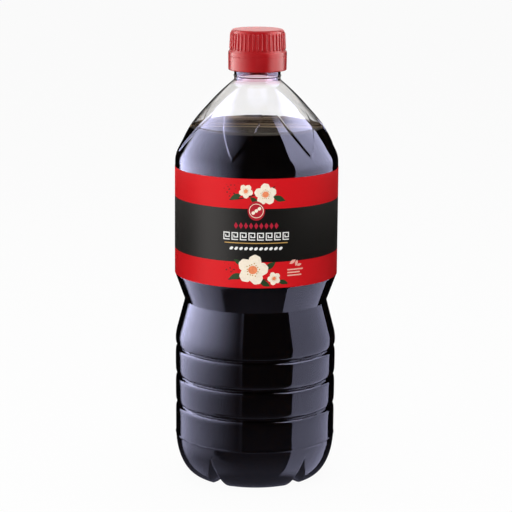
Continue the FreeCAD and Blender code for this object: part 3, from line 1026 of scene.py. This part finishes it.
def draw_blossom(petals, heart, stamens, centre, reach, tilt, layer):
    """A five-petalled flower: petals, a heart, and dots round it."""
    for k in range(5):
        turn = math.radians(tilt + 72 * k)
        spot = (centre[0] + 0.56 * reach * math.cos(turn), centre[1] + 0.56 * reach * math.sin(turn))

        def edge(angle_, turned=turn):
            ripple = 1 + 0.035 * math.sin(7 * angle_)
            across = 0.46 * reach * math.cos(angle_) * ripple
            up = 0.43 * reach * math.sin(angle_) * ripple
            return (across * math.cos(turned) - up * math.sin(turned),
                    across * math.sin(turned) + up * math.cos(turned))
        petals.fan(spot, edge, layer + 0.4 * (k % 2), 5, 36)
    heart.oval(centre, 0.30 * reach, 0.28 * reach, tilt, layer + 1.2, rings=3)
    for k in range(15):
        turn = math.radians(tilt + 24 * k)
        away = reach * (0.36 if k % 3 else 0.44)
        spot = (centre[0] + away * math.cos(turn), centre[1] + away * math.sin(turn))
        stamens.oval(spot, 0.045 * reach, 0.045 * reach, 0, layer + 1.6, rings=1, spokes=10)


class BOTTLE_OT_flowers(bpy.types.Operator):
    """Print plum blossoms and their leaves on the red bands"""
    bl_idname = "bottle.flowers"
    bl_label = "Blossoms"

    def execute(self, context):
        prints = context.scene.bottle_print
        petals, hearts, stamens, leaves, twigs = Flat(), Flat(), Flat(), Flat(), Flat()
        flowers = [((4.6, 48.6), 5.6, 20), ((-5.4, 50.2), 3.6, 55),
                   ((-1.6, 9.6), 7.8, 5), ((9.4, 5.0), 3.4, 40)]
        for centre, reach, tilt in flowers:
            draw_blossom(petals, hearts, stamens, centre, reach, tilt, 2)
        for centre, size, tilt in [((-10.6, 47.2), 3.4, 25), ((-1.0, 45.4), 3.0, 140),
                                   ((11.6, 46.4), 3.6, -20), ((7.2, 11.6), 3.6, 35),
                                   ((-10.4, 6.0), 3.8, 20), ((-9.0, 13.4), 2.8, -30),
                                   ((4.4, 2.6), 3.4, -28), ((14.0, 3.0), 3.0, -15)]:
            leaves.oval(centre, size, size * 0.42, tilt, 1, pointed=0.75, rings=4)
        for start, middle, stop in [((-14.0, 45.6), (-4.0, 46.2), (9.5, 52.6)),
                                    ((-14.5, 4.2), (2.0, 6.5), (16.5, 1.8))]:
            curve = []
            for k in range(33):
                share = k / 32
                rest = 1 - share
                curve.append(tuple(rest * rest * a + 2 * rest * share * b + share * share * c
                                   for a, b, c in zip(start, middle, stop)))
            twigs.ribbon([(x, y + 0.28) for x, y in curve], [(x, y - 0.28) for x, y in curve], 0.6)
        print_on_label("blossom_petals", petals, ink("cream", prints.cream, 0.14))
        print_on_label("blossom_hearts", hearts, ink("salmon", prints.salmon, 0.25))
        print_on_label("blossom_stamens", stamens, ink("gold_dots", prints.gold))
        print_on_label("blossom_leaves", leaves, ink("leaf", prints.leaf, 0.3))
        print_on_label("blossom_twigs", twigs, ink("bark", prints.bark))
        return {"FINISHED"}


class BOTTLE_OT_ornament(bpy.types.Operator):
    """Print the bean emblem and the rows of lozenges, waves and beans"""
    bl_idname = "bottle.ornament"
    bl_label = "Emblem and rows"

    def execute(self, context):
        prints = context.scene.bottle_print
        disc, rim, beans = Flat(), Flat(), Flat()
        centre = (0.0, 40.2)
        disc.oval(centre, 4.4, 5.0, 0, 3.4, rings=5, spokes=64)
        rim.arc_band(centre, 3.7, 3.4, 0, 360, 4, pieces=64)
        for step in (-1, 0, 1):
            spot = (centre[0] + 1.55 * step, centre[1] + 1.1 * step)
            beans.oval(spot, 0.95, 0.85, 35, 4, rings=2)
        print_on_label("emblem_disc", disc, ink("crimson", prints.crimson))
        print_on_label("emblem_rim", rim, ink("cream_rim", prints.cream))
        print_on_label("emblem_beans", beans, ink("cream_beans", prints.cream))
        lozenge = Flat()
        lozenge.fan((0.0, 32.4), lozenge_edge(1.05, 1.7), 1, 2, 16)
        print_on_label("lozenge_row", lozenge, ink("crimson_row", (0.42, 0.008, 0.03)), 9, 2.6)
        fret = Flat()
        for left, right, low in ((-1.7, 1.7, 24.9), (-1.7, 1.7, 28.4), (-0.7, 1.7, 26.2)):
            fret.bar(left, right, low, low + 0.5, 1)
        for left, low, high in ((-1.7, 25.4, 28.4), (1.2, 26.7, 28.4), (-0.7, 26.7, 27.6)):
            fret.bar(left, left + 0.5, low, high, 1)
        print_on_label("fret_row", fret, ink("white_fret", prints.white), 8, 4.4)
        rule = Flat()
        rule.bar(-16.5, 16.5, 23.2, 23.65, 1)
        print_on_label("gold_rule", rule, ink("gold", prints.gold))
        bean = Flat()
        bean.oval((0.0, 20.6), 1.05, 0.7, 35, 1, rings=1, spokes=18)
        print_on_label("bean_row", bean, ink("white_beans", prints.white), 11, 2.55)
        return {"FINISHED"}


def lozenge_edge(half_width, half_height):
    """Edge of a diamond."""
    def edge(turn):
        scale = 1 / (abs(math.cos(turn)) / half_width + abs(math.sin(turn)) / half_height)
        return scale * math.cos(turn), scale * math.sin(turn)
    return edge


class BOTTLE_OT_sprig(bpy.types.Operator):
    """Print the pale sprig, its bars and the scattered drops"""
    bl_idname = "bottle.sprig"
    bl_label = "Sprig and drops"

    def execute(self, context):
        prints = context.scene.bottle_print
        sprig = Flat()
        for centre, size, tilt in [((19.4, 13.2), 2.0, 30), ((21.6, 12.4), 1.7, 75), ((23.2, 11.4), 1.5, 10)]:
            sprig.oval(centre, size, size * 0.45, tilt, 1, pointed=0.7, rings=2)
        for left, right, up in ((16.5, 25.5, 9.2), (16.5, 23.6, 7.7), (16.5, 24.6, 6.2)):
            sprig.bar(left, right, up - 0.35, up + 0.35, 1)
        print_on_label("pale_sprig", sprig, ink("pale_sprig", (0.80, 0.42, 0.34)))
        drops = Flat()
        for index in range(34):
            away = index / 34
            turn = 2.4 * index
            side = 50.0 if index % 2 else 12.0
            across = -9.5 - 6.5 * away + 1.3 * math.cos(turn)
            up = side + 4.6 * math.sin(turn * 1.7) * (1 - 0.4 * away)
            size = 0.14 + 0.26 * ((index * 7) % 5) / 5
            drops.oval((across, up), size * 1.4, size, 20 + 40 * math.sin(turn), 0.8, rings=1, spokes=12)
        print_on_label("sauce_drops", drops, ink("drops", prints.bark))
        return {"FINISHED"}


# ------------------------------------------------------------------ stage

def bare_material(name):
    """A material without nodes, and its tree."""
    material = bpy.data.materials.new(name)
    material.use_nodes = True
    material.node_tree.nodes.clear()
    return material, material.node_tree


def end_material(tree, share, first, second):
    """End a tree with the first shader where the share is zero, the second where it is one."""
    mixed = add_node(tree, "ShaderNodeMixShader", {0: share, 1: first, 2: second})
    tree.links.new(mixed.outputs[0], tree.nodes.new("ShaderNodeOutputMaterial").inputs[0])


def light_path(tree, kind):
    return from_node(tree, "ShaderNodeLightPath", output=kind)


def screen_light(tree, low):
    """Colour and strength of the flags and soft boxes, by turn and height on the ring."""
    place, x, y, z = object_place(tree)
    degrees = x.math("ARCTAN2", y * -1.0) * (180 / math.pi)
    away = degrees.math("ABSOLUTE")
    wall = z.ease(low + 0.03, low + 0.14) * z.ease(0.17, 0.25, 1.0, 0.66) * z.ease(0.32, 0.46, 1.0, 0.10)
    edge = z.ease(-0.035, -0.085, -54, -18)
    cut = z.ease(-0.005, -0.022) * (degrees - edge).ease(-4, 4)
    left = degrees.ease(-126, -116) * degrees.ease(-108, -14, 1.0, 0.0) * (1.0 - cut)
    left = left * (z.ease(-0.07, -0.005, 0.8, 2.6) + z.ease(0.0, 0.13, 0.0, 6.0))
    right = degrees.ease(47, 48.5) * degrees.ease(118, 120, 1.0, 0.0) * z.ease(0.10, 0.30, 1.8, 10.0)
    behind = z.ease(0.235, 0.255, 0.0, 1.7) * away.ease(130, 150)
    front = away.ease(60, 90, 1.0, 0.0) * z.ease(-0.10, 0.04, 0.16, 0.02)
    crown = z.ease(0.50, 0.518, 0.0, 1.3) * (x * x + y * y).math("SQRT").ease(0.075, 0.125, 1.0, 0.0)
    light = (left + right + behind + front) * wall + z.ease(low, 0.0, 0.30, 0.004) + crown
    satin = 1.0 - light_path(tree, "Is Singular Ray")
    printed = satin * z.ease(0.165, 0.185, 1.0, 0.0)
    strip = degrees.ease(-88, -62) * degrees.ease(-46, -14, 1.0, 0.0) * 2.6
    light = light * (1.0 - printed) * (satin * 0.5 + 1.0) + strip * printed
    neutral = (z.ease(0.165, 0.19) * away.ease(115, 135)).math("MAXIMUM", satin)
    return mix_colours(tree, neutral, (0.68, 0.69, 1.0), (1.0, 0.96, 0.94)), light


def studio_screen(studio):
    """Dark flags all round with two soft boxes, met only by rays that a glossy face has mirrored."""
    low, top, radius = -0.25, studio.screen_height, studio.screen_radius
    rings = [[(0.0, 0.0, low)], ring_at(radius, low, 96), ring_at(radius, top, 96), [(0.0, 0.0, top)]]
    screen = new_object("studio_screen", *shell_mesh(rings), smooth=False)
    material, tree = bare_material("flags_and_soft_boxes")
    tint, light = screen_light(tree, low)
    glow = from_node(tree, "ShaderNodeEmission", {"Color": tint, "Strength": light})
    mirrored = light_path(tree, "Glossy Depth").math("GREATER_THAN", 0.5)
    end_material(tree, mirrored, from_node(tree, "ShaderNodeBsdfTransparent"), glow)
    screen.data.materials.append(material)
    for kind in ("camera", "diffuse", "volume_scatter", "shadow"):
        setattr(screen, "visible_" + kind, False)


def pale_floor():
    """A pale floor that stays white round the bottle and keeps its shadow."""
    reach = 6.0
    corners = [(-reach, -reach, 0), (reach, -reach, 0), (reach, reach, 0), (-reach, reach, 0)]
    floor = new_object("floor", corners, [(0, 1, 2, 3)], smooth=False)
    material, tree = bare_material("pale_floor")
    card = from_node(tree, "ShaderNodeBsdfDiffuse", {"Color": (0.86, 0.86, 0.86, 1)})
    white = from_node(tree, "ShaderNodeEmission", {"Color": (1, 1, 1, 1), "Strength": 1.0})
    end_material(tree, direct_rays(tree) * 0.95, card, white)
    floor.data.materials.append(material)
    floor.visible_glossy = False
    floor.visible_transmission = False


def direct_rays(tree):
    """One for camera, glossy and transmission rays, zero for the rest."""
    seen = light_path(tree, "Is Camera Ray") + light_path(tree, "Is Glossy Ray")
    return seen.math("ADD", light_path(tree, "Is Transmission Ray"), clamp=True)


def white_world(scene):
    """White where it is seen, and a soft even fill for everything else."""
    fill = 0.13
    world = bpy.data.worlds.new("studio")
    scene.world = world
    world.use_nodes = True
    tree = world.node_tree
    tree.nodes.clear()
    strength = direct_rays(tree) * (1.0 - fill) + fill
    sky = add_node(tree, "ShaderNodeBackground", {"Color": (1, 1, 1, 1), "Strength": strength})
    tree.links.new(sky.outputs[0], tree.nodes.new("ShaderNodeOutputWorld").inputs[0])


def soft_lamp(name, place, aim, width, height, power):
    """A large soft lamp that lights the object and isn't mirrored in it."""
    data = bpy.data.lights.new(name, "AREA")
    data.shape = "RECTANGLE"
    data.size, data.size_y = width, height
    data.energy = power
    lamp = bpy.data.objects.new(name, data)
    bpy.context.collection.objects.link(lamp)
    lamp.location = place
    lamp.rotation_euler = (Vector(aim) - Vector(place)).to_track_quat("-Z", "Y").to_euler()
    lamp.visible_glossy = False
    lamp.visible_transmission = False
    return lamp


class BOTTLE_OT_stage(bpy.types.Operator):
    """Set the pale floor, the soft studio light and the camera"""
    bl_idname = "bottle.stage"
    bl_label = "Stage"

    def execute(self, context):
        scene = context.scene
        studio = scene.bottle_studio
        pale_floor()
        white_world(scene)
        studio_screen(studio)
        soft_lamp("front_lamp", (-0.08, -1.15, 0.55), (0, 0, 0.12), 0.6, 0.6, 8.4)
        soft_lamp("left_lamp", (-0.80, -0.75, 0.50), (0, 0, 0.12), 0.6, 0.8, 1.8)
        soft_lamp("top_lamp", (0.0, 0.1, 1.1), (0, 0, 0.12), 0.8, 0.8, 7.0)
        data = bpy.data.cameras.new("camera")
        data.lens = studio.lens
        data.sensor_width = 36.0
        data.clip_start = 0.05
        camera = bpy.data.objects.new("camera", data)
        context.collection.objects.link(camera)
        camera.location = (0.0, -studio.view_distance, studio.view_height)
        drop = math.atan2(studio.view_height - studio.aim_height, studio.view_distance)
        tilt = Euler((math.pi / 2 - drop, 0.0, 0.0)).to_matrix() @ Euler((0.0, 0.0, studio.roll)).to_matrix()
        camera.rotation_euler = tilt.to_euler()
        scene.camera = camera
        scene.view_settings.view_transform = "Standard"
        return {"FINISHED"}


class BOTTLE_PT_panel(bpy.types.Panel):
    """Lists the pieces of the bottle"""
    bl_idname = "BOTTLE_PT_panel"
    bl_label = "Soy Sauce Bottle"
    bl_space_type = "VIEW_3D"
    bl_region_type = "UI"
    bl_category = "Bottle"

    def draw(self, context):
        for kind in OPERATORS:
            self.layout.operator(kind.bl_idname)


OPERATORS = (BOTTLE_OT_stage, BOTTLE_OT_shell, BOTTLE_OT_sauce, BOTTLE_OT_cap, BOTTLE_OT_label,
             BOTTLE_OT_flowers, BOTTLE_OT_ornament, BOTTLE_OT_sprig)
GROUPS = {"bottle_sizes": BottleSizes, "bottle_cap": CapSizes, "bottle_print": PrintSizes,
          "bottle_studio": StudioSizes}


def register():
    for kind in (*GROUPS.values(), *OPERATORS, BOTTLE_PT_panel):
        bpy.utils.register_class(kind)
    for name, kind in GROUPS.items():
        setattr(bpy.types.Scene, name, PointerProperty(type=kind))


def unregister():
    for name in GROUPS:
        delattr(bpy.types.Scene, name)
    for kind in reversed((*GROUPS.values(), *OPERATORS, BOTTLE_PT_panel)):
        bpy.utils.unregister_class(kind)


def main():
    register()
    bpy.ops.bottle.stage()
    bpy.ops.bottle.shell()
    bpy.ops.bottle.sauce()
    bpy.ops.bottle.cap()
    bpy.ops.bottle.label()
    bpy.ops.bottle.flowers()
    bpy.ops.bottle.ornament()
    bpy.ops.bottle.sprig()


if __name__ == "__main__":
    main()
